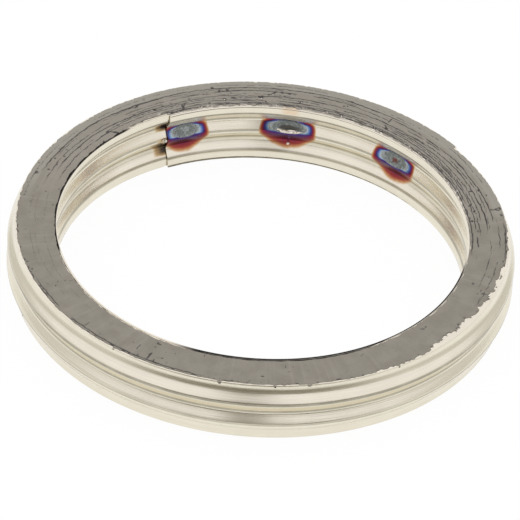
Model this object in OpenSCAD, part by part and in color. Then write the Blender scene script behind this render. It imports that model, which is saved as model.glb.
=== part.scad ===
// Spiral-wound exhaust gasket.
// A thin steel strip, rolled to a wavy section, is wound with a soft graphite tape between its turns.
// The first turns and the last one are plain steel, and spot welds hold both ends of the strip.
// The ring lies flat, with its axis on Z and its lower sealing face at Z = 0.

/* [Ring] */
// Diameter across the lips at the inner end of the strip
bore_d = 52.5; // [40:0.5:80]
// Height of the steel strip, from edge to edge
strip_h = 8.3; // [7.5:0.1:12]
// How far the graphite stands past each edge of the strip
filler_proud = 0.1; // [0.05:0.05:0.4]

/* [Strip section] */
// Thickness of the strip
strip_t = 0.25; // [0.15:0.05:0.4]
// Height of the straight lip along each edge
lip_h = 0.8; // [0.4:0.1:1.2]
// Distance between the crests of the two bulges
crest_spacing = 3.3; // [2.6:0.1:3.8]
// How far each bulge would stand outside the lips, if its bend were sharp
bulge_depth = 1.05; // [0.6:0.05:1.3]
// How far the valley between the bulges would stand outside the lips, if its bend were sharp
valley_depth = 0.2; // [0.1:0.05:0.4]
// Radius of the rolled bends
bend_r = 0.8; // [0.4:0.1:1]

/* [Winding] */
// Thickness of the graphite tape
filler_t = 0.85; // [0.6:0.05:1.2]
// Air gap between plain turns
plain_gap = 0.1; // [0.05:0.05:0.2]
// Half turns of the strip before the graphite starts
inner_plain_halves = 3; // [2:1:5]
// Half turns of graphite at its full thickness
filler_halves = 7; // [3:1:12]
// Half turns of the strip after the graphite is covered
outer_plain_halves = 1; // [1:1:4]
// Azimuth of the inner end of the strip, from which it winds clockwise
start_az = 120; // [0:5:355]
// How far the outer end of the strip runs on past its last half turn
tail_angle = 80; // [30:5:170]

/* [Spot welds] */
// How far round from the inner end of the strip each inside weld lies
inner_weld_at = [5.5, 35.5, 68.5]; // [4:0.5:170]
// How far back from the outer end of the strip its weld lies
outer_weld_back = 9; // [5:1:20]
// Width of a weld
weld_d = 3.4; // [2:0.1:4.2]
// Depth of the mark that a weld leaves, at the height of its centre
weld_sink = 0.06; // [0.02:0.02:0.12]
// Radius of the round tip that pressed the weld
weld_tip_r = 6; // [4:0.5:12]

/* [Hidden] */
$fn = 128;
ring_h = strip_h + 2 * filler_proud;
mid_z = ring_h / 2;
strip_low = filler_proud;
strip_high = ring_h - filler_proud;
weld_z = mid_z + crest_spacing / 4;
weld_depth = (bulge_depth + valley_depth) / 2;
first_filler = inner_plain_halves - 1;
last_filler = inner_plain_halves + filler_halves + 1;
tail = last_filler + 2 + outer_plain_halves;
// How far a cutting turn runs on past the ends of the half turn that it cuts
overrun = 10;

// Gap outside the strip at each crossing of the start line: air, the tape, or half of each where it tapers
function gap(k) =
    k <= first_filler || k > last_filler ? plain_gap :
    k == first_filler + 1 || k == last_filler ? (plain_gap + filler_t) / 2 : filler_t;

// Distance from the axis to the lip at each crossing: every turn lies on the one before it
function crossing(k) =
    k < 2 ? bore_d / 2 + k * (strip_t + plain_gap) / 2 : crossing(k - 2) + strip_t + gap(k - 2);

// Each half turn is a true arc from one crossing to the next, so its centre shifts a little
function turn_r(k) = (crossing(k) + crossing(k + 1)) / 2;
function turn_shift(k) = (k % 2 == 0 ? 1 : -1) * (crossing(k) - crossing(k + 1)) / 2;

// A point kept to a ten-thousandth of a millimetre, so that pieces that meet have the same edges
function settled(p) = [for (x = p) round(x * 10000) / 10000];

// The two ends of a flat facet at the corner b between a and c, which touches a bend of radius bend_r
function bend(a, b, c) =
    let (u = (b - a) / norm(b - a))
    let (v = (c - b) / norm(c - b))
    let (turn = acos(u * v))
    let (cut = bend_r * tan(turn / 4) / cos(turn / 2))
    [settled(b - u * cut), settled(b + v * cut)];

// The wave of the strip from its upper edge down, as offsets from the lip and heights
function wave(low, high) =
    let (corners = [
        [0, high],
        [0, strip_high - lip_h],
        [bulge_depth, mid_z + crest_spacing / 2],
        [valley_depth, mid_z],
        [bulge_depth, mid_z - crest_spacing / 2],
        [0, strip_low + lip_h],
        [0, low]])
    concat(
        [corners[0]],
        [for (i = [1 : 5]) each bend(corners[i - 1], corners[i], corners[i + 1])],
        [corners[6]]);

function reversed(points) = [for (i = [len(points) - 1 : -1 : 0]) points[i]];

function shifted(points, by) = [for (p = points) p + [by, 0]];

// A layer between the wave, moved out by the first distance, and the same wave moved out by the second
module layer(from, to, low, high) {
    edge = wave(low, high);
    polygon(concat(shifted(edge, from), shifted(reversed(edge), to)));
}

module strip_layer(thickness = strip_t) {
    layer(0, thickness, strip_low, strip_high);
}

// What lies inside the wave, moved out by grow, down to a straight line at depth
module inside_wave(grow, depth) {
    polygon(concat(shifted(wave(0, ring_h), grow), [[-depth, 0], [-depth, ring_h]]));
}

// Sweeps a section drawn at the lip along half turn k, clockwise between two angles past its crossing
module half_turn(k, from = 0, to = 180) {
    translate([turn_shift(k), 0, 0])
        rotate_extrude(angle = to - from, start = (k % 2 == 0 ? 0 : 180) - to)
            translate([turn_r(k), 0])
                children();
}

// A weld joins half turn k to the plain turn outside it, at an angle past its crossing
module weld_nugget(k, at) {
    intersection() {
        half_turn(k) strip_layer(2 * strip_t + plain_gap);
        rotate([0, 0, (k % 2 == 0 ? 0 : 180) - at])
            translate([turn_r(k) - bulge_depth, 0, weld_z])
                rotate([0, 90, 0])
                    cylinder(h = 4 * bulge_depth, d = weld_d);
    }
}

// The dished mark of a round tip at an angle past crossing k, deepest at a distance from the lip
module tip_mark(k, at, deepest, side) {
    rotate([0, 0, (k % 2 == 0 ? 0 : 180) - at])
        translate([turn_r(k) + deepest + side * weld_tip_r, 0, weld_z])
            sphere(r = weld_tip_r);
}

module steel_strip() {
    outer_weld_at = tail_angle - outer_weld_back;
    color("#c9c2b1")
        rotate([0, 0, start_az])
            difference() {
                union() {
                    for (k = [0 : tail])
                        half_turn(k, 0, k == tail ? tail_angle : 180) strip_layer();
                    for (at = inner_weld_at)
                        weld_nugget(0, at);
                    weld_nugget(tail - 2, outer_weld_at);
                }
                for (at = inner_weld_at)
                    tip_mark(0, at, weld_depth + weld_sink, -1);
                tip_mark(tail, outer_weld_at, weld_depth + strip_t - weld_sink, 1);
            }
}

// Graphite between half turn k and the turn outside it, which part where the tape tapers
module filler_half(k) {
    if (gap(k) == gap(k + 1)) {
        half_turn(k) layer(strip_t, strip_t + gap(k), 0, ring_h);
    } else {
        difference() {
            half_turn(k + 2) inside_wave(0, 2 * filler_t);
            half_turn(k, -overrun, 180 + overrun) inside_wave(strip_t, 4 * filler_t);
        }
    }
}

module graphite_filler() {
    color("#8f8a80")
        rotate([0, 0, start_az])
            for (k = [first_filler : last_filler])
                filler_half(k);
}

steel_strip();
graphite_filler();
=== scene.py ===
# %% [markdown]
# The exhaust gasket is a ring that seals two flanged pipes: a thin steel strip, rolled to a wavy
# section, is wound in a spiral with soft graphite tape between its turns. The packed CAD part gives
# the frame: where the ring lies, how high it is and how far it reaches. Everything made here stays
# inside that box. Lengths are in millimetres until a piece is finished.

import math

import bmesh
import bpy
from mathutils import Matrix, Vector, noise


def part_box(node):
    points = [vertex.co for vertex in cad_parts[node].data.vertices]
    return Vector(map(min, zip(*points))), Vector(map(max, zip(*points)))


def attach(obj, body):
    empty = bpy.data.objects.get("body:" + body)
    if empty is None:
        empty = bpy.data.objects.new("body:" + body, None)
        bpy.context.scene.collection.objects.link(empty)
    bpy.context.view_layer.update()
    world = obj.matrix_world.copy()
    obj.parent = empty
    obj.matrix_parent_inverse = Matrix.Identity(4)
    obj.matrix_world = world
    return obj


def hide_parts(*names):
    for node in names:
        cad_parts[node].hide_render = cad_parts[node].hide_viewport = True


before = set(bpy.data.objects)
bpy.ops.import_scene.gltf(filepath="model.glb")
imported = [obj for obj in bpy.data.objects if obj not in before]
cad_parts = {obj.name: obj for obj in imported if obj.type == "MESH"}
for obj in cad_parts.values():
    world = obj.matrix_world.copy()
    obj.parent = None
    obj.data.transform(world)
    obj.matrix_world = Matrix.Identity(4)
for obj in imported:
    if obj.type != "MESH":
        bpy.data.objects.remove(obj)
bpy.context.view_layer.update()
MM = 0.001
strip_low, strip_high = (corner.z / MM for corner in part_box("steel_strip"))
face_low, face_high = (corner.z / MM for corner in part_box("graphite_filler"))
mid_z = (strip_low + strip_high) / 2
print("strip from", round(strip_low, 3), "to", round(strip_high, 3), "mm")
print("faces at", round(face_low, 3), "and", round(face_high, 3), "mm")

# %% [markdown]
# The winding. Each half turn of the strip is a true arc, and its centre lies a little to one side of
# the axis, so that the end of one arc is the start of the next and the ring grows by one strip and one
# gap for each turn. A formula for a spiral would need its own list of points, where arcs can be spun.
# The inner end of the strip is at the start azimuth, and it winds clockwise. The first turns and the
# last one are plain steel, with a hair of air between them. The sizes below are those of the real
# parts, and the lip radius at each crossing of the start line follows from them.

# %% Winding plan
LIP_R = 26.25
STRIP_T = 0.25
PLAIN_GAP = 0.1
TAPE_T = 0.85
FIRST_TAPE = 2
LAST_TAPE = 11
TAIL = 14
TAIL_ANGLE = 80
START_AZ = 120


def gap(k):
    if k <= FIRST_TAPE or k > LAST_TAPE:
        return PLAIN_GAP
    if k in (FIRST_TAPE + 1, LAST_TAPE):
        return (PLAIN_GAP + TAPE_T) / 2
    return TAPE_T


def crossing(k):
    if k < 2:
        return LIP_R + k * (STRIP_T + PLAIN_GAP) / 2
    return crossing(k - 2) + STRIP_T + gap(k - 2)


print("lips at", [round(crossing(k), 3) for k in range(TAIL + 2)])

# %% [markdown]
# The rolled section. The strip has a straight lip along each edge and two bulges with a valley between
# them, and the graphite tape takes the same wave, because it is pressed between two turns. The outline
# is drawn with sharp corners, and a vertex bevel rounds each bend as the rolls do, which keeps the
# sizes in plain sight. Every vertex keeps whether it is on the inner or the outer side, so that later
# steps can reach one side without the other.

# %% Rolled section
LIP_H = 0.95
CREST_SPACING = 3.3
BULGE = 0.99
VALLEY = 0.165
CREST_BEND = 0.34
LIP_BEND = 0.6
EDGE_BEND = 0.03
LONG_FLANK = 0.5


def layer_outline(bm, inset, thickness, low, high):
    crest_high = mid_z + CREST_SPACING / 2
    crest_low = mid_z - CREST_SPACING / 2
    wave = [
        (0, high), (0, strip_high - LIP_H), (BULGE, crest_high), (VALLEY, mid_z),
        (BULGE, crest_low), (0, strip_low + LIP_H), (0, low)]
    bends = (((2, 3, 4), CREST_BEND, 6), ((1, 5), LIP_BEND, 6), ((0, 6), EDGE_BEND, 2))
    bm.verts.layers.int.new("half")
    side = bm.verts.layers.int.new("side")
    inner = [bm.verts.new((inset + x, 0, z)) for x, z in wave]
    outer = [bm.verts.new((inset + thickness + x, 0, z)) for x, z in wave]
    bm.faces.new(inner + outer[::-1])
    for corners, offset, segments in bends:
        for mark, row in enumerate((inner, outer)):
            before = set(bm.verts)
            bmesh.ops.bevel(
                bm, geom=[row[i] for i in corners], offset=offset, offset_type="OFFSET",
                segments=segments, profile=0.5, affect="VERTICES", material=-1)
            for vert in set(bm.verts) - before:
                vert[side] = mark
    before = set(bm.verts)
    flanks = [e for e in bm.edges if abs(e.verts[0].co.z - e.verts[1].co.z) > LONG_FLANK]
    bmesh.ops.subdivide_edges(bm, edges=flanks, cuts=2)
    bmesh.ops.delete(bm, geom=list(bm.faces), context="FACES_ONLY")
    for vert in set(bm.verts) - before:
        vert[side] = max(edge.other_vert(vert)[side] for edge in vert.link_edges)


trial = bmesh.new()
layer_outline(trial, LIP_R, STRIP_T, strip_low, strip_high)
print("the rolled section has", len(trial.verts), "points")
trial.free()

# %% [markdown]
# The steel strip is one long piece. Each half turn is one spin of the section round its own centre, and
# the half turns are joined where their ends meet. The half turn at the inner end carries three spot
# welds, so it is swept in fine steps, and the turns that show on the outside are finer than those that
# are hidden in the ring. Every vertex also keeps the number of its half turn.

# %% Wound strip
FINE_STEPS = {0: 320, 1: 110, TAIL - 2: 128, TAIL - 1: 128, TAIL: 60}
HIDDEN_STEPS = 26
MERGE = 0.001


def joined(bm, part):
    mesh = bpy.data.meshes.new("joined")
    part.to_mesh(mesh)
    part.free()
    bm.from_mesh(mesh)
    bpy.data.meshes.remove(mesh)


def wound(inset, thickness, low, high, halves):
    bm = bmesh.new()
    for k, angle, steps in halves:
        arc = bmesh.new()
        layer_outline(arc, crossing(k) + inset, thickness, low, high)
        for vert in arc.verts:
            vert[arc.verts.layers.int["half"]] = k
        centre = ((crossing(k) - crossing(k + 1)) / 2, 0, 0)
        bmesh.ops.spin(
            arc, geom=list(arc.verts) + list(arc.edges), cent=centre, axis=(0, 0, -1), dvec=(0, 0, 0),
            angle=math.radians(angle), steps=steps, use_merge=False, use_duplicate=False)
        spun = Matrix.Rotation(math.radians(START_AZ + 180 * (k % 2)), 3, "Z")
        bmesh.ops.rotate(arc, verts=arc.verts, cent=(0, 0, 0), matrix=spun)
        joined(bm, arc)
    bmesh.ops.remove_doubles(bm, verts=bm.verts, dist=MERGE)
    bmesh.ops.holes_fill(bm, edges=[e for e in bm.edges if e.is_boundary])
    bmesh.ops.recalc_face_normals(bm, faces=bm.faces)
    return bm


halves = [(k, TAIL_ANGLE if k == TAIL else 180, FINE_STEPS.get(k, HIDDEN_STEPS)) for k in range(TAIL + 1)]
strip_bm = wound(0, STRIP_T, strip_low, strip_high, halves)
print("strip has", len(strip_bm.verts), "vertices")

# %% [markdown]
# Welds, cracks and torn edges are places on a ring, so they are given by radius and azimuth. These
# helpers read a vertex's place, move it in or out, fade one state into another and give a smooth
# random value, which is the same in every run.

# %% Places on the ring
def polar(co):
    return math.hypot(co.x, co.y), math.degrees(math.atan2(co.y, co.x)) % 360


def azimuth_from(az, centre):
    return (az - centre + 180) % 360 - 180


def rescale(vert, old_r, new_r):
    vert.co.x *= new_r / old_r
    vert.co.y *= new_r / old_r


def smooth(low, high, x):
    t = min(max((x - low) / (high - low), 0), 1)
    return t * t * (3 - 2 * t)


def rough(x, y, size, seed):
    return noise.noise(Vector((x / size, y / size, seed)))


print("one degree along the lip is", round(math.radians(1) * LIP_R, 3), "mm")

# %% [markdown]
# Spot welds. A round tip pressed the first turn against the second and melted them together, which
# left an oval crater on the flank above the valley. A boolean cut would leave a sharp, clean bowl, so
# the vertices near each weld are moved instead: down to a lumpy floor, with a raised rim round it, for
# the metal that ran and set. Distances from a weld are shares of the crater's half width and height.

# %% Weld craters
WELD_AZ = (114.6, 84.9, 51.7)
WELD_Z = 5.075
CRATER = (2.4, 0.95)
WELD_SINK = 0.16
LUMPS = 0.07
LUMP_SIZE = 0.6
LUMP_SEED = 5.0
RIM = 0.04
RIM_AT = 1.05
RIM_WIDTH = 0.16
BOWL_AT = 0.55
NEAR_WELD = 1.6
half = strip_bm.verts.layers.int["half"]
side = strip_bm.verts.layers.int["side"]
moved = 0
for vert in strip_bm.verts:
    r, az = polar(vert.co)
    for number, weld_az in enumerate(WELD_AZ if vert[half] == 0 else ()):
        along = math.radians(azimuth_from(az, weld_az)) * r
        up = vert.co.z - WELD_Z
        reach = math.hypot(along / CRATER[0], up / CRATER[1])
        if reach < NEAR_WELD:
            lumps = LUMPS * rough(along, up, LUMP_SIZE, LUMP_SEED + number)
            rim = RIM * math.exp(-((reach - RIM_AT) / RIM_WIDTH) ** 2)
            shift = (WELD_SINK + lumps) * smooth(RIM_AT, BOWL_AT, reach) - rim
            rescale(vert, r, r + (max(shift, 0) if vert[side] else shift))
            moved += 1
print("welds moved", moved, "vertices")

# %% [markdown]
# The plain turns carry the ring. Pressing has set their lower edges almost level with the graphite, so
# these are let down to the table, and no dark line shows under the walls. The strip is then made an
# object, with its place in its mesh, and takes over from the CAD strip.

# %% Finished strip
PLAIN_HALVES = (0, 1, TAIL - 2, TAIL - 1, TAIL)
EDGE_ZONE = 0.1
LET_DOWN = 0.85


def settle(bm, name, sharp=40):
    bmesh.ops.scale(bm, vec=(MM, MM, MM), verts=bm.verts)
    mesh = bpy.data.meshes.new(name)
    bm.to_mesh(mesh)
    bm.free()
    for polygon in mesh.polygons:
        polygon.use_smooth = True
    mesh.set_sharp_from_angle(angle=math.radians(sharp))
    piece = bpy.data.objects.new(name, mesh)
    bpy.context.scene.collection.objects.link(piece)
    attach(piece, "root")
    size = [round(d / MM, 2) for d in piece.dimensions]
    print(name, "has", sum(len(p.vertices) - 2 for p in mesh.polygons), "triangles and measures", size)
    return piece


for vert in strip_bm.verts:
    if vert[half] in PLAIN_HALVES and vert.co.z < strip_low + EDGE_ZONE:
        vert.co.z -= LET_DOWN * (strip_low - face_low)
strip = settle(strip_bm, "wound_strip")
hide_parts("steel_strip")

# %% [markdown]
# The graphite tape fills the turns between the plain ones. It is wound like the strip, and its edges
# end just under the two sealing faces, where pressing smears them into one skin. Where the tape begins
# and ends, its outer side is moved in, so that it tapers as the gap between the turns does.

# %% Graphite tape
TAPE_SUNK = 0.12
TAPE_STEPS = 40
tape_halves = [(k, 180, TAPE_STEPS) for k in range(FIRST_TAPE, LAST_TAPE + 1)]
tape_bm = wound(STRIP_T, TAPE_T, face_low + TAPE_SUNK, face_high - TAPE_SUNK, tape_halves)
half = tape_bm.verts.layers.int["half"]
side = tape_bm.verts.layers.int["side"]
for vert in tape_bm.verts:
    k = vert[half]
    r, az = polar(vert.co)
    past = math.radians((START_AZ - 180 * k - az) % 360)
    thickness = gap(k) + (gap(k + 1) - gap(k)) * (1 - math.cos(past)) / 2
    rescale(vert, r, r - vert[side] * (TAPE_T - thickness))
tape = settle(tape_bm, "graphite_tape")
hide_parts("graphite_filler")

# %% [markdown]
# The sealing faces. Pressed graphite creeps over the strip's edges and hides most of them, so each face
# reads as one grey band with ragged concentric cracks where the turns lie under it, and a few scratches
# across it. A picture of cracks would look flat in low light, so they are cut into the mesh. A crack is
# given by its radius, the azimuths where it starts and ends, its width, its strength and how readily it
# breaks off. A scratch is given by its azimuth, its inner and outer radius and its strength.

# %% Cracks and scratches
FACE_R = 30
FADE_ANGLE = 8
SCRATCH_W = (0.16, 0.05)
upper_marks = {
    "cracks": (
        (30.46, 50, 166, 0.11, 0.9, 0.1), (29.93, 6, 62, 0.10, 1.0, 0.2), (29.80, 62, 118, 0.11, 0.9, 0.4),
        (29.40, 100, 172, 0.08, 0.7, 0.5), (29.05, 2, 52, 0.09, 1.0, 0.3), (28.72, 40, 164, 0.11, 0.9, 0.2),
        (28.30, 60, 150, 0.09, 0.8, 0.5), (27.92, 92, 168, 0.09, 0.8, 0.4), (27.70, -10, 104, 0.10, 0.9, 0.4),
        (27.36, 14, 130, 0.10, 0.9, 0.5), (27.00, -8, 136, 0.14, 0.9, 0.3), (29.52, 10, 70, 0.09, 0.9, 0.5),
        (28.40, 6, 62, 0.09, 1.0, 0.3), (28.05, 0, 60, 0.09, 0.9, 0.5), (30.90, 18, 72, 0.06, 0.7, 0.6),
        (31.10, 66, 182, 0.07, 0.6, 0.6), (30.15, 60, 160, 0.07, 0.6, 0.7), (29.1, 70, 140, 0.08, 0.7, 0.7),
        (28.2, 164, 228, 0.06, 0.4, 0.5), (29.4, 168, 222, 0.06, 0.4, 0.6), (30.1, 164, 205, 0.06, 0.4, 0.6),
        (30.5, 330, 374, 0.08, 0.7, 0.6), (29.3, 338, 376, 0.08, 0.7, 0.6), (31.3, 202, 262, 0.12, 0.9, 0.6),
        (31.3, 320, 372, 0.14, 1.0, 0.7)),
    "scratches": (
        (226, 29.9, 31.3, 0.5), (244.5, 29.6, 31.4, 1.0), (246.2, 30.6, 31.5, 0.8), (257, 27.0, 27.9, 0.5),
        (340, 29.9, 30.9, 0.7), (14, 29.8, 31.5, 0.8), (58, 29.0, 30.4, 0.7), (112, 28.6, 29.4, 0.6))}
lower_marks = {
    "cracks": (
        (27.2, 20, 200, 0.10, 0.8, 0.4), (28.3, 100, 330, 0.07, 0.7, 0.4), (29.4, 0, 140, 0.08, 0.9, 0.3),
        (29.5, 190, 340, 0.06, 0.6, 0.5), (30.5, 60, 250, 0.08, 0.9, 0.3), (31.1, 260, 372, 0.07, 0.7, 0.5)),
    "scratches": ((40, 28.0, 30.0, 0.6), (150, 29.0, 31.0, 0.7), (285, 27.6, 29.9, 0.6))}


def crack_depth(r, az, marks, seed):
    s = math.radians(az) * FACE_R
    depth = 0
    for number, (line_r, start, end, width, strength, breaks) in enumerate(marks["cracks"]):
        past = (az - start) % 360
        span = end - start
        if past > span:
            continue
        fade = smooth(0, FADE_ANGLE, past) * smooth(span, span - FADE_ANGLE, past)
        wander = 0.2 * rough(s, 0, 6.0, seed + number) + 0.12 * rough(s, 0, 0.9, seed + number + 0.5)
        whole = smooth(breaks - 0.9, breaks - 0.65, rough(s, 0, 4.5, seed + number + 0.3))
        broad = width * (0.7 + 1.1 * max(rough(s, 0, 1.3, seed + number + 0.7), 0))
        depth = max(depth, strength * fade * whole * smooth(broad, 0.3 * broad, abs(r - line_r - wander)))
    for number, (at, inner, outer, strength) in enumerate(marks["scratches"]):
        across = math.radians(azimuth_from(az, at)) * r + 0.2 * rough(r, at, 0.8, seed + number)
        along = smooth(inner, inner + 0.3, r) * smooth(outer, outer - 0.3, r)
        depth = max(depth, strength * along * smooth(*SCRATCH_W, abs(across)))
    return depth


print("upper face has", len(upper_marks["cracks"]), "cracks, lower face", len(lower_marks["cracks"]))

# %% [markdown]
# The skin's edges. The graphite stops a little short of the ring's inner and outer edges, by a margin
# that changes round the ring. It is torn in scallops where the outer edge is bent, and a few flakes
# hang over the edge. Margins are given as stops of azimuth and distance, with straight runs between
# them. A flake is given by its azimuth, its half width in degrees and how far it reaches out.

# %% Ragged edges
OVERHANG = 0.12
upper_marks["inner"] = (
    (0, 0.32), (40, 0.38), (125, 0.38), (136, 0.34), (168, 0.36), (172, 0.28), (192, 0.30), (200, 0.34),
    (240, 0.42), (255, 0.56), (290, 0.56), (306, 0.42), (318, 0.36), (360, 0.32))
upper_marks["outer"] = (
    (0, 0.08), (15, 0.05), (170, 0.05), (180, 0.15), (262, 0.14), (300, 0.10), (312, 0.04), (317, 0.32),
    (322, 0.36), (326, 0.62), (331, 0.42), (338, 0.24), (348, 0.16), (360, 0.08))
upper_marks["torn"] = (
    (0, 0.16), (14, 0.0), (180, 0.0), (200, 0.08), (262, 0.08), (290, 0.10), (300, 0.22), (318, 0.36),
    (334, 0.40), (346, 0.28), (360, 0.16))
upper_marks["flakes"] = (
    (262.6, 0.7, 0.3), (275.2, 0.5, 0.34), (277.2, 0.8, 0.2), (283.0, 0.9, 0.22), (236.2, 0.5, 0.2),
    (305.0, 0.7, 0.2))
lower_marks["inner"] = ((0, 0.4), (90, 0.5), (200, 0.35), (300, 0.55), (360, 0.4))
lower_marks["outer"] = ((0, 0.12), (120, 0.06), (250, 0.2), (360, 0.12))
lower_marks["torn"] = ((0, 0.1), (180, 0.2), (360, 0.1))
lower_marks["flakes"] = ((30.0, 0.8, 0.25), (200.0, 0.6, 0.25))


def lip_at(k, az):
    past = math.radians((START_AZ - 180 * k - az) % 360)
    return crossing(k) + (crossing(k + 1) - crossing(k)) * (1 - math.cos(past)) / 2


def inner_edge(az):
    return lip_at(0 if az <= START_AZ or az >= START_AZ + 180 else 1, az)


def outer_edge(az):
    if START_AZ - TAIL_ANGLE <= az <= START_AZ:
        return lip_at(TAIL, az) + STRIP_T
    return lip_at(TAIL - 1 if START_AZ < az <= START_AZ + 180 else TAIL - 2, az) + STRIP_T


def along_stops(az, stops):
    for (a, first), (b, second) in zip(stops, stops[1:]):
        if a <= az <= b:
            return first + (second - first) * (az - a) / (b - a)
    return stops[-1][1]


def skin_edges(az, x, y, marks, seed):
    s = math.radians(az) * FACE_R
    inner = inner_edge(az) + along_stops(az, marks["inner"])
    inner += 0.12 * rough(x, y, 1.3, seed + 20) + 0.08 * rough(x, y, 0.7, seed + 21)
    outer = outer_edge(az) - along_stops(az, marks["outer"])
    outer += 0.1 * rough(x, y, 1.0, seed + 22) + 0.08 * rough(x, y, 0.4, seed + 23)
    torn = along_stops(az, marks["torn"])
    outer -= torn * smooth(0, 0.12, rough(s, 0, 1.4, seed + 28))
    outer -= 0.5 * torn * smooth(0, 0.1, rough(s, 0, 0.55, seed + 29))
    for at, width, amount in marks["flakes"]:
        outer += amount * smooth(width, 0.3 * width, abs(azimuth_from(az, at)))
    return inner, min(outer, outer_edge(az) + OVERHANG), torn


print("at the front the ring reaches from", round(inner_edge(270), 2), "to", round(outer_edge(270), 2), "mm")

# %% [markdown]
# Both skins start from one blank: a thin closed section from radius 1 to radius 2, whose upper side has
# many points, spun through one sector. Copies of the sector are turned and merged into a whole ring,
# which is quicker than one long spin. Radius 1 stands for the inner edge and radius 2 for the outer.

# %% Blank skin
SKIN = 0.16
ACROSS = 52
AROUND = 1104
SECTORS = 12


def blank_skin():
    bm = bmesh.new()
    outline = ((1, face_high), (2, face_high), (2, face_high - SKIN), (1, face_high - SKIN))
    corners = [bm.verts.new((x, 0, z)) for x, z in outline]
    section = bm.faces.new(corners)
    upper = [e for e in section.edges if set(e.verts) == set(corners[:2])]
    bmesh.ops.subdivide_edges(bm, edges=upper, cuts=ACROSS - 1)
    bmesh.ops.delete(bm, geom=list(bm.faces), context="FACES_ONLY")
    bmesh.ops.spin(
        bm, geom=list(bm.verts) + list(bm.edges), cent=(0, 0, 0), axis=(0, 0, 1), dvec=(0, 0, 0),
        angle=math.tau / SECTORS, steps=AROUND // SECTORS, use_merge=False, use_duplicate=False)
    sector = list(bm.verts) + list(bm.edges) + list(bm.faces)
    for number in range(1, SECTORS):
        copy = bmesh.ops.duplicate(bm, geom=sector)["geom"]
        bmesh.ops.rotate(
            bm, verts=[item for item in copy if isinstance(item, bmesh.types.BMVert)], cent=(0, 0, 0),
            matrix=Matrix.Rotation(math.tau * number / SECTORS, 3, "Z"))
    bmesh.ops.remove_doubles(bm, verts=bm.verts, dist=MERGE)
    return bm


print("a skin has", AROUND * ACROSS, "faces on its upper side")

# %% [markdown]
# The blank is worn by moving its vertices: in and out to the ragged edges, down where a flake droops
# over the edge, and down into cracks, pits and chewed edges. The far side of the ring is worn more than
# the near side. How worn each vertex is, and where bright flecks lie along the inner edge, goes into
# two attributes that the material reads.

# %% Worn skin
WORN_AZ = 72
WORN_REACH = (76, 50)
FACE_SINK = 0.015
FACE_WAVES = 0.012
EDGE_ROUND = 0.07
CRACK_SINK = 0.09
DROOP = 1.5


def worn_skin(marks, seed):
    bm = blank_skin()
    wear_and_shade = bm.verts.layers.float.new("wear_and_shade")
    fleck = bm.verts.layers.float.new("fleck")
    for vert in bm.verts:
        r, az = polar(vert.co)
        inner, outer, torn = skin_edges(az, vert.co.x * FACE_R / r, vert.co.y * FACE_R / r, marks, seed)
        new_r = inner + (outer - inner) * (r - 1)
        x, y = vert.co.x * new_r / r, vert.co.y * new_r / r
        if vert.co.z > face_high - SKIN / 2:
            from_inner = new_r - inner
            from_outer = outer - new_r
            worn_half = smooth(*WORN_REACH, abs(azimuth_from(az, WORN_AZ)))
            pit = smooth(0.42 - 0.06 * worn_half, 0.62 - 0.1 * worn_half, rough(x, y, 0.55, seed + 24))
            pit *= smooth(-0.1, 0.3, rough(x, y, 5.0, seed + 25))
            pit *= 0.6 + 0.4 * worn_half
            chewed = smooth(0.3 + torn, 0.05, from_outer) + worn_half * smooth(0.3, 0.05, from_inner)
            chewed *= smooth(0.1, 0.35, rough(x, y, 0.5, seed + 27))
            depth = max(crack_depth(new_r, az, marks, seed), pit, 0.9 * chewed)
            vert[wear_and_shade] = depth
            bright = smooth(0.3, 0.45, rough(x, y, 0.4, seed + 30))
            vert[fleck] = smooth(0.8, 0.3, from_inner) * bright * worn_half
            waves = FACE_WAVES * rough(x, y, 2.5, seed + 26)
            rounded = EDGE_ROUND * smooth(0.16, 0, min(from_inner, from_outer))
            vert.co.z = face_high - FACE_SINK - waves - rounded - CRACK_SINK * depth
        vert.co.z -= DROOP * max(new_r - outer_edge(az) + 0.05, 0)
        rescale(vert, r, new_r)
    bmesh.ops.recalc_face_normals(bm, faces=bm.faces)
    return bm


upper_face = settle(worn_skin(upper_marks, 3.7), "upper_face", 60)

# %% [markdown]
# The lower face is worn in its own way. It is made as an upper face and then mirrored in the middle
# plane. The mirror operator keeps the first half too, so that half is deleted, and the normals are
# worked out again, because a mirrored shape is inside out.

# %% Lower face
lower_bm = worn_skin(lower_marks, 61.3)
bmesh.ops.mirror(
    lower_bm, geom=list(lower_bm.verts) + list(lower_bm.edges) + list(lower_bm.faces),
    matrix=Matrix.Translation((0, 0, -mid_z)), merge_dist=-1, axis="Z")
bmesh.ops.delete(lower_bm, geom=[v for v in lower_bm.verts if v.co.z > mid_z], context="VERTS")
bmesh.ops.recalc_face_normals(lower_bm, faces=lower_bm.faces)
lower_face = settle(lower_bm, "lower_face", 60)

# %% [markdown]
# Where the press caught the ring's edge, the top of the outer turn is bent in over the graphite, and the
# torn skin ends on it in scallops. The strip's own mesh is too coarse to bend there, so the bent edge
# is a thin spun band that lies just under the skin. It is spun between radius 1 and radius 2 as the
# skins are, and its vertices are then moved out to the ring's edge.

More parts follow.
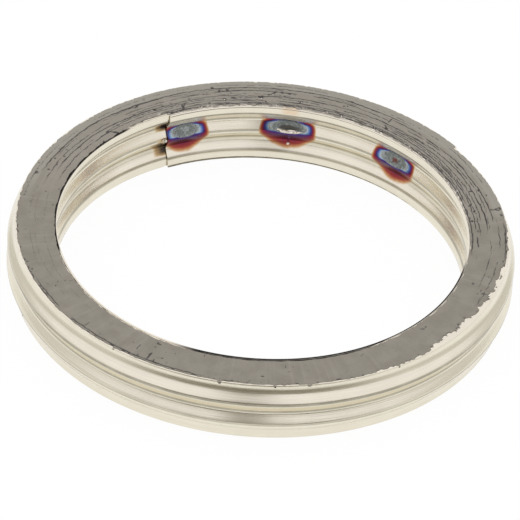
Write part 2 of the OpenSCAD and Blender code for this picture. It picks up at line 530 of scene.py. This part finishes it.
# %% Bent edge
BENT = (296, 352)
BENT_W = 1.1
BENT_STEPS = 140
BENT_INSET = 0.03
bent_high = strip_high + 0.03
bent_low = strip_high - 0.1
bent_bm = bmesh.new()
corners = [
    bent_bm.verts.new((x, 0, z)) for x, z in ((1, bent_high), (2, bent_high), (2, bent_low), (1, bent_low))]
bent_bm.faces.new(corners)
bmesh.ops.delete(bent_bm, geom=list(bent_bm.faces), context="FACES_ONLY")
bmesh.ops.spin(
    bent_bm, geom=list(bent_bm.verts) + list(bent_bm.edges), cent=(0, 0, 0), axis=(0, 0, 1), dvec=(0, 0, 0),
    angle=math.radians(BENT[1] - BENT[0]), steps=BENT_STEPS, use_merge=False, use_duplicate=False)
bmesh.ops.rotate(
    bent_bm, verts=bent_bm.verts, cent=(0, 0, 0), matrix=Matrix.Rotation(math.radians(BENT[0]), 3, "Z"))
bmesh.ops.holes_fill(bent_bm, edges=[e for e in bent_bm.edges if e.is_boundary])
bmesh.ops.recalc_face_normals(bent_bm, faces=bent_bm.faces)
for vert in bent_bm.verts:
    r, az = polar(vert.co)
    vert.co.z += 0.02 * rough(vert.co.x, vert.co.y, 0.05, 9.0)
    rescale(vert, r, outer_edge(az) - BENT_INSET - BENT_W * (2 - r))
bent_edge = settle(bent_bm, "bent_edge")

# %% [markdown]
# Spatter. The second weld was too hot: its metal ran, and set as a bright crescent with a drip under it.
# A bead of the same metal stuck where the strip ends. Each is a sphere with a lumpy skin, pressed out of
# round, and is given by its azimuth, its height, how far it lies behind the lip, its half sizes and how
# far its ends curl up.

# %% Weld spatter
RUN = (84.4, 4.62, 0.27, (1.5, 0.24, 0.23), 0.14)
DRIP = (84.7, 2.3, 0.70, (0.17, 0.17, 0.17), 0.0)
BEAD = (121.0, 4.3, 0.12, (0.3, 0.3, 0.3), 0.0)


def blob(bm, az, z, offset, half_sizes, curl, seed):
    part = bmesh.new()
    bmesh.ops.create_icosphere(part, subdivisions=4, radius=1)
    for vert in part.verts:
        vert.co *= 1 + 0.5 * noise.noise(vert.co * 2.1 + Vector((seed, 0, 0)))
        vert.co.z += curl * (vert.co.x * vert.co.x - 0.5) / half_sizes[2]
    bmesh.ops.scale(part, vec=half_sizes, verts=part.verts)
    bmesh.ops.translate(part, vec=(0, inner_edge(az) + offset, z), verts=part.verts)
    bmesh.ops.rotate(
        part, verts=part.verts, cent=(0, 0, 0), matrix=Matrix.Rotation(math.radians(az - 90), 3, "Z"))
    joined(bm, part)


spatter_bm = bmesh.new()
for seed, bit in enumerate((RUN, DRIP, BEAD)):
    blob(spatter_bm, *bit, seed * 3.1 + 1.0)
spatter = settle(spatter_bm, "weld_spatter")

# %% [markdown]
# Materials are written as arithmetic on node sockets: one small class wraps a socket, so that a sum of
# two values adds a Math node, and one method adds any other node. Linking nodes one by one would give
# the same result, but the formula of a finish could no longer be read.

# %% Shader arithmetic
class Sock:
    def __init__(self, tree, socket=None):
        self.tree = tree
        self.socket = socket

    def node(self, kind, settings, inputs, out=0):
        made = self.tree.nodes.new(kind)
        for name, value in settings.items():
            setattr(made, name, value)
        for key, value in inputs.items():
            if isinstance(value, Sock):
                self.tree.links.new(value.socket, made.inputs[key])
            else:
                made.inputs[key].default_value = value
        return Sock(self.tree, made.outputs[out] if made.outputs else None)

    def math(self, operation, *values):
        return self.node("ShaderNodeMath", {"operation": operation}, dict(enumerate(values)))

    def __add__(self, other):
        return self.math("ADD", self, other)

    def __radd__(self, other):
        return self.math("ADD", other, self)

    def __sub__(self, other):
        return self.math("SUBTRACT", self, other)

    def __rsub__(self, other):
        return self.math("SUBTRACT", other, self)

    def __mul__(self, other):
        return self.math("MULTIPLY", self, other)

    def __rmul__(self, other):
        return self.math("MULTIPLY", other, self)

    def __truediv__(self, other):
        return self.math("DIVIDE", self, other)

    def __rtruediv__(self, other):
        return self.math("DIVIDE", other, self)

    def __pow__(self, other):
        return self.math("POWER", self, other)

    def __abs__(self):
        return self.math("ABSOLUTE", self)

    def smaller(self, other):
        return self.math("MINIMUM", self, other)

    def larger(self, other):
        return self.math("MAXIMUM", self, other)

    def step(self, low, high):
        return self.node(
            "ShaderNodeMapRange", {"interpolation_type": "SMOOTHSTEP"},
            {"Value": self, "From Min": low, "From Max": high, "To Min": 0.0, "To Max": 1.0})

    def mix(self, first, second):
        return self.node("ShaderNodeMix", {"data_type": "RGBA"}, {0: self, 6: first, 7: second}, 2)

    def vector(self, y, z):
        return self.node("ShaderNodeCombineXYZ", {}, {0: self, 1: y, 2: z})

    def parts(self):
        split = self.node("ShaderNodeSeparateXYZ", {}, {0: self}).socket.node
        return [Sock(self.tree, output) for output in split.outputs]

    def noise(self, scale, detail):
        return self.node("ShaderNodeTexNoise", {}, {"Vector": self, "Scale": scale, "Detail": detail})

    def ramp(self, stops):
        made = self.node("ShaderNodeValToRGB", {}, {0: self})
        elements = made.socket.node.color_ramp.elements
        while len(elements) < len(stops):
            elements.new(0.5)
        for element, (position, color) in zip(elements, stops):
            element.position = position
            element.color = color
        return made

    def bump(self, strength, distance):
        return self.node("ShaderNodeBump", {}, {"Height": self, "Strength": strength, "Distance": distance})


print("a socket can", ", ".join(name for name in vars(Sock) if not name.startswith("__")))

# %% [markdown]
# Each finish starts in the same way: a material with its Principled shader, and the place on the piece
# in millimetres, from Object coordinates, because every piece sits at the origin. Another helper feeds
# the shader's sockets, and a third spells a colour.

# %% Material helpers
def new_material(name):
    material = bpy.data.materials.new(name)
    material.use_nodes = True
    tree = material.node_tree
    x, y, z = (part / MM for part in Sock(tree).node("ShaderNodeTexCoord", {}, {}, "Object").parts())
    return material, tree.nodes["Principled BSDF"], x, y, z


def feed(shader, **values):
    for name, value in values.items():
        socket = shader.inputs[name.replace("_", " ")]
        if isinstance(value, Sock):
            value.tree.links.new(value.socket, socket)
        else:
            socket.default_value = value


def rgb(red, green, blue):
    return (red, green, blue, 1.0)


steel, shader, x, y, z = new_material("rolled_steel")
print("started the finish", steel.name)

# %% [markdown]
# Bare steel. Rolled stainless has fine lines along the strip and a warm tone, with faint smudges. A soft
# dark line round the wall is painted along each bend: a painted reflection of the dark band round the
# horizon. A bend is given by its height, the reach of its line and its strength. The inner wall has its
# own bends, because there the same wave is seen from its hollow side.

# %% Bare steel
INNER_WALL_R = (27.62, 27.75)
OUTER_BENDS = ((5.84, 0.30, 0.7), (4.38, 0.30, 0.6), (2.66, 0.18, 0.45))
INNER_BENDS = (
    (7.2, 0.28, 0.65), (6.0, 0.26, 0.65), (4.36, 0.24, 0.6), (3.2, 0.32, 0.55), (2.6, 0.6, 0.22),
    (1.3, 0.28, 0.55))
radius = (x * x + y * y) ** 0.5
turn = x.math("ARCTAN2", y, x)
lines = (x * 0.12).vector(y * 0.12, z * 9.0).noise(1.0, 4.0)
cloud = x.vector(y, z).noise(0.35, 3.0)
grain = x.vector(y, z).noise(3.0, 3.0)
warp = (x.vector(y, z).noise(0.9, 2.0) - 0.5) * 0.5
inside = 1.0 - radius.step(*INNER_WALL_R)


def height_bands(bends):
    total = 0.0
    for at, reach, strength in bends:
        total = total + strength * (1.0 - abs(z - at).step(0.3 * reach, reach))
    return total


bare = cloud.step(0.35, 0.7).mix(rgb(0.85, 0.80, 0.665), rgb(0.82, 0.765, 0.635))
bare = lines.step(0.3, 0.75).mix(bare, rgb(0.78, 0.73, 0.605))
# painted reflection: a soft dark line along each bend stands for the dark band round the horizon seen in the
# steel
painted_bend_reflection = inside * height_bands(INNER_BENDS) + (1.0 - inside) * height_bands(OUTER_BENDS)
bare = (painted_bend_reflection * (0.6 + 0.8 * cloud)).mix(bare, rgb(0.20, 0.18, 0.13))
print("bare steel has", len(OUTER_BENDS), "dark lines outside and", len(INNER_BENDS), "inside")

# %% [markdown]
# Heat tint. Round each spot weld the heat left oxide colours in rings: grey in the crater, pale blue,
# blue, purple, crimson, orange and straw. The value behind them runs from 0 at the crater's rim to 1
# where the tint ends. Above the crater the rings begin at dark blue and below it at purple, and they
# stop at the bend over the flank. The hot second weld also browned the lip above it.

# %% Heat tint
WELD_HALF_W = (1.95, 2.5, 2.2)
WELD_HALF_H = 0.92
TINT_REACH = 1.3
TINT_HALF_H = 2.9
TINT_DROP = 0.35
RUN_PAST_WELD = 0.4
heat = crater = None
for weld_az, half_width in zip(WELD_AZ, WELD_HALF_W):
    along = (turn - math.radians(weld_az)) * radius
    up = z - WELD_Z
    bowl = ((along / half_width) ** 2.0 + (up / WELD_HALF_H) ** 2.0) ** 0.5
    reach = ((along / (half_width + TINT_REACH)) ** 2.0 + ((up + TINT_DROP) / TINT_HALF_H) ** 2.0) ** 0.5
    ring = (1.0 - 1.0 / bowl) / (1.0 / reach - 1.0 / bowl)
    heat = ring if heat is None else heat.smaller(ring)
    crater = bowl if crater is None else crater.smaller(bowl)
cold = 0.44 * z.step(5.45, 5.75)
heat = heat.larger(0.0) * (1.0 - cold) + cold + warp * 0.25
under = 1.0 - z.step(4.35, 4.6)
heat = heat + under * (0.52 + 0.16 * heat + 0.27 * heat ** 3.0 - heat)
tint = heat.ramp([
    (0.0, rgb(0.34, 0.37, 0.37)), (0.09, rgb(0.38, 0.47, 0.52)), (0.25, rgb(0.16, 0.26, 0.48)),
    (0.42, rgb(0.055, 0.07, 0.26)), (0.54, rgb(0.07, 0.03, 0.14)), (0.66, rgb(0.19, 0.025, 0.05)),
    (0.80, rgb(0.32, 0.06, 0.045)), (0.93, rgb(0.54, 0.30, 0.13))])
past_end = (turn - math.radians(START_AZ)) * radius
beyond = past_end.step(0.01, 0.05)
touched = (1.0 - heat.step(0.90, 1.08)) * inside * (1.0 - z.step(5.9, 6.15)) * (1.0 - beyond)
run_along = (turn - math.radians(WELD_AZ[1] - RUN_PAST_WELD)) * radius
scalded = (1.0 - abs(run_along / 1.6).step(0.3, 1.0)) * z.step(7.3, 7.7) * inside * 0.4
colour = touched.mix(scalded.mix(bare, rgb(0.74, 0.46, 0.22)), tint)
print("heat tint lies round", len(WELD_AZ), "welds")

# %% [markdown]
# The melted metal froze in ripples, grey and dull. The third crater has a small brown pit,
# and the second has painted shade in the hollow behind the run of metal.

# %% Set craters
wavy = crater * 6.0 + grain * 16.0
rings = wavy.math("SINE", wavy) * 0.5 + 0.5
molten = rings.mix(rgb(0.17, 0.19, 0.18), rgb(0.34, 0.37, 0.36))
molten = grain.step(0.55, 0.7).mix(molten, rgb(0.14, 0.15, 0.15))
pit_along = (turn - math.radians(WELD_AZ[2])) * radius
pit = ((pit_along / 0.55) ** 2.0 + ((z - 5.0) / 0.35) ** 2.0) ** 0.5 + warp * 2.0
molten = (1.0 - pit.step(0.4, 1.2)).mix(molten, rgb(0.17, 0.08, 0.065))
# painted shade in the hollow behind the second weld's run of metal
painted_hollow_shade = ((run_along / 1.6) ** 2.0 + ((z - 4.95) / 0.34) ** 2.0) ** 0.5 + warp * 2.4
molten = (1.0 - painted_hollow_shade.step(0.6, 1.1)).mix(molten, rgb(0.10, 0.095, 0.085))
in_crater = (1.0 - crater.step(0.85, 1.0)) * inside * (1.0 - beyond)
colour = in_crater.mix(colour, molten)
print("steel has", len(steel.node_tree.nodes), "nodes so far")

# %% [markdown]
# Scorched steel, painted dark edges and painted gap shade. Just past the strip's inner end, the turn
# behind it is scorched in the grooves of its wave. Along the near side the top edges of the plain turns
# are painted dark, as a painted reflection, and on the left the gap between them gets painted shade.
# Both are painted on the strip's top edges, because they are thinner than its mesh could show.

# %% Scorch, painted dark edges and painted gap shade
SCORCHED_GROOVES = ((6.25, 1.0, 1.1), (2.4, 1.0, 0.9), (4.25, 0.5, 0.4))
TOP_EDGE = (8.26, 8.34)
LEFT_AZ = 165
fresh = beyond * (1.0 - (past_end + warp * 2.0).step(0.1, 2.4)) * inside
burnt = fresh * height_bands(SCORCHED_GROOVES)
scorch = burnt.ramp([
    (0.0, rgb(0.80, 0.68, 0.46)), (0.45, rgb(0.36, 0.24, 0.12)), (0.9, rgb(0.05, 0.04, 0.03))])
colour = burnt.step(0.02, 0.3).mix(colour, scorch)
near_side = turn.step(math.radians(-115), math.radians(-105))
near_side = near_side * (1.0 - turn.step(math.radians(-15), math.radians(-4)))
dark_edge_to = 26.62 + 0.36 * (1.0 - turn.step(math.radians(-62), math.radians(-50)))
painted_dark_edge = near_side * z.step(*TOP_EDGE) * (1.0 - (radius - dark_edge_to).step(-0.03, 0.03))
from_left = turn - math.radians(LEFT_AZ)
left_side = from_left.math("COSINE", from_left).step(0.84, 0.87)
painted_gap_shade = left_side * z.step(*TOP_EDGE) * radius.step(26.62, 26.65) * (1.0 - radius.step(27.1, 27.2))
# one dark colour: painted reflection on the near top edges and painted shade in the open gap on the left
colour = painted_dark_edge.larger(painted_gap_shade).mix(colour, rgb(0.030, 0.026, 0.022))
print("scorched", len(SCORCHED_GROOVES), "grooves")

# %% [markdown]
# The steel's shader. The metal is bright and a little uneven, duller in the craters and under the upper
# lip of the inner wall. The rolled lines and the ripples of the craters are too fine for the mesh, so
# they are a bump.

# %% Steel finish
shaded = inside * z.step(5.95, 6.15) * (1.0 - z.step(7.2, 7.5))
ripple = in_crater * (rings * 0.25 + grain * 0.8)
feed(
    shader, Base_Color=colour, Metallic=1.0,
    Roughness=0.20 + (cloud - 0.5) * 0.10 + in_crater * 0.14 + shaded * 0.25,
    Normal=(lines * 0.08 + ripple).bump(0.6, 0.0002))
for piece in (strip, bent_edge):
    piece.data.materials.append(steel)
print("steel has", len(steel.node_tree.nodes), "nodes")

# %% [markdown]
# Set metal. The run and the beads cooled bright, with a skin that is straw-coloured in places. It needs
# no rings or lines, so it is a small material of its own.

# %% Set metal
set_metal, shader, x, y, z = new_material("set_metal")
patchy = x.vector(y, z).noise(2.2, 3.0)
feed(
    shader, Base_Color=patchy.step(0.4, 0.65).mix(rgb(0.86, 0.82, 0.72), rgb(0.42, 0.36, 0.27)), Metallic=1.0,
    Roughness=0.22 + 0.2 * patchy, Normal=patchy.bump(0.6, 0.0002))
spatter.data.materials.append(set_metal)
print("set metal has", len(set_metal.node_tree.nodes), "nodes")

# %% [markdown]
# Graphite. Pressed graphite is a soft matte grey with a slight sheen. Faint streaks run across the band
# where the press slipped, and the far half is paler, in layers. Cracks and pits are darker, because
# light is lost in them. The two attributes of the skins say where they and the bright flecks lie.

# %% Graphite finish
graphite, shader, x, y, z = new_material("pressed_graphite")
start = Sock(graphite.node_tree)
worn_and_shaded = start.node("ShaderNodeAttribute", {"attribute_name": "wear_and_shade"}, {}, "Fac")
flecked = start.node("ShaderNodeAttribute", {"attribute_name": "fleck"}, {}, "Fac")
radius = (x * x + y * y) ** 0.5
turn = x.math("ARCTAN2", y, x)
fine = x.vector(y, z).noise(6.0, 4.0)
coarse = x.vector(y, z).noise(0.5, 3.0)
streak = (x / radius).vector(y / radius, 0.0).noise(60.0, 3.0)
layer = (radius * 1.7).vector(turn * 0.6, 0.0).noise(1.0, 2.0)
far_half = turn.step(math.radians(8), math.radians(15))
far_half = far_half * (1.0 - turn.step(math.radians(165), math.radians(175)))
tone = coarse.step(0.3, 0.7).mix(rgb(0.233, 0.213, 0.166), rgb(0.272, 0.251, 0.200))
tone = (fine.step(0.58, 0.74) * 0.45).mix(tone, rgb(0.12, 0.11, 0.095))
tone = (streak.step(0.5, 0.75) * 0.25).mix(tone, rgb(0.36, 0.33, 0.29))
tone = ((0.4 + 0.4 * layer.step(0.45, 0.6)) * far_half).mix(tone, rgb(0.312, 0.286, 0.236))
tone = (radius.step(30.4, 30.5) * far_half * 0.55).mix(tone, rgb(0.340, 0.324, 0.264))
# painted shade: cracks, pits and chewed edges are darkened, because light is lost in them
tone = worn_and_shaded.step(0.1, 0.7).mix(tone, rgb(0.050, 0.044, 0.037))
tone = (flecked.step(0.3, 0.8) * 0.8).mix(tone, rgb(0.52, 0.48, 0.42))
feed(
    shader, Base_Color=tone, Metallic=0.0, Roughness=0.62 + (fine - 0.5) * 0.2,
    Normal=(fine * 0.5 + coarse * 0.6 - worn_and_shaded * 0.8).bump(0.5, 0.00006))
for piece in (tape, upper_face, lower_face):
    piece.data.materials.append(graphite)
print("graphite has", len(graphite.node_tree.nodes), "nodes")

# %% [markdown]
# The table. The ring lies on a plain white round that keeps its shadow. Camera and glossy rays see it
# mostly as an even glow, so that it is white in the picture and in the steel, and it fades into the
# white background towards its rim.

# %% Table
FLOOR_R = 0.050
FADE_FROM = 0.040
FADE_TO = 0.049
floor_bm = bmesh.new()
bmesh.ops.create_circle(floor_bm, cap_ends=True, segments=96, radius=FLOOR_R)
floor_mesh = bpy.data.meshes.new("floor")
floor_bm.to_mesh(floor_mesh)
floor_bm.free()
floor = bpy.data.objects.new("floor", floor_mesh)
bpy.context.scene.collection.objects.link(floor)
white = bpy.data.materials.new("white_table")
white.use_nodes = True
white.node_tree.nodes.clear()
start = Sock(white.node_tree)
camera_ray = start.node("ShaderNodeLightPath", {}, {}, "Is Camera Ray")
seen = camera_ray.larger(start.node("ShaderNodeLightPath", {}, {}, "Is Glossy Ray"))
spot = start.node("ShaderNodeTexCoord", {}, {}, "Object")
far = spot.node("ShaderNodeVectorMath", {"operation": "LENGTH"}, {0: spot}, 1)
paint = start.node("ShaderNodeBsdfDiffuse", {}, {"Color": rgb(0.86, 0.86, 0.84)})
glow = start.node("ShaderNodeEmission", {}, {"Color": rgb(1.0, 1.0, 1.0), "Strength": 1.02})
white_share = seen * 0.86 + camera_ray * (0.06 + 0.08 * far.step(FADE_FROM, FADE_TO))
mixed = start.node("ShaderNodeMixShader", {}, {0: white_share, 1: paint, 2: glow})
start.node("ShaderNodeOutputMaterial", {}, {"Surface": mixed})
floor_mesh.materials.append(white)
print("table reaches", FLOOR_R / MM, "mm from the axis")

# %% [markdown]
# The light is an even glow from above, as in a tent. Polished steel shows its surroundings, so the
# world is bright overhead and darker in a low band round the horizon, most of all in front, as a room
# is beyond the edge of a white sweep: that band is what draws the dark lines along the rolled bends. A
# dark upright patch in front stands for the gap in the tent, and shows in the middle of the near wall.

# %% Light
world = bpy.data.worlds.new("studio")
world.use_nodes = True
bpy.context.scene.world = world
start = Sock(world.node_tree)
across, ahead, height = start.node("ShaderNodeTexCoord", {}, {}, "Generated").parts()
front = (0.0 - ahead).step(0.45, 0.95)
band = front.mix(rgb(0.70, 0.69, 0.66), rgb(0.28, 0.265, 0.22))
sky = (height - front * 0.04).step(0.02, 0.12).mix(band, rgb(1.0, 0.985, 1.02))
dark_patch = (1.0 - abs(across + 0.02).step(0.05, 0.24)) * (0.0 - ahead).step(0.2, 0.6)
sky = (dark_patch * (1.0 - height.step(0.26, 0.60)) * 0.75).mix(sky, rgb(0.22, 0.20, 0.165))
camera_ray = start.node("ShaderNodeLightPath", {}, {}, "Is Camera Ray")
feed(world.node_tree.nodes["Background"], Color=camera_ray.mix(sky, rgb(1.0, 1.0, 1.0)), Strength=1.0)
print("world has", len(world.node_tree.nodes), "nodes")

# %% [markdown]
# Camera. A long lens looks down on the ring from the front at thirty-eight degrees, a little rolled, so
# that the ring's right side lies lower in the picture. Its place was fitted to the ring's edges in
# shares of one radius on the upper face, and angles are in radians.

# %% Camera
FIT_R = 31.83
ELEVATION = 0.6627
ROLL = 0.06956
SENSOR = 36
FOCAL = 415.4
distance = 24.0657 * FIT_R
aim = Vector((-0.00376 * FIT_R, -0.20747 * FIT_R, face_high))
right = Vector((1, 0, 0))
forward = Vector((0, math.cos(ELEVATION), -math.sin(ELEVATION)))
above = right.cross(forward)
axis_x = right * math.cos(ROLL) + above * math.sin(ROLL)
axis_y = above * math.cos(ROLL) - right * math.sin(ROLL)
lens = bpy.data.cameras.new("camera")
lens.sensor_width = SENSOR
lens.lens = FOCAL
lens.clip_start = 0.05
camera = bpy.data.objects.new("camera", lens)
bpy.context.scene.collection.objects.link(camera)
turned = Matrix((axis_x, axis_y, -forward)).transposed().to_4x4()
camera.matrix_world = Matrix.Translation((aim - forward * distance) * MM) @ turned
bpy.context.scene.camera = camera
bpy.context.scene.view_settings.view_transform = "Standard"
print("camera at", [round(v, 4) for v in camera.location])

# %% [markdown]
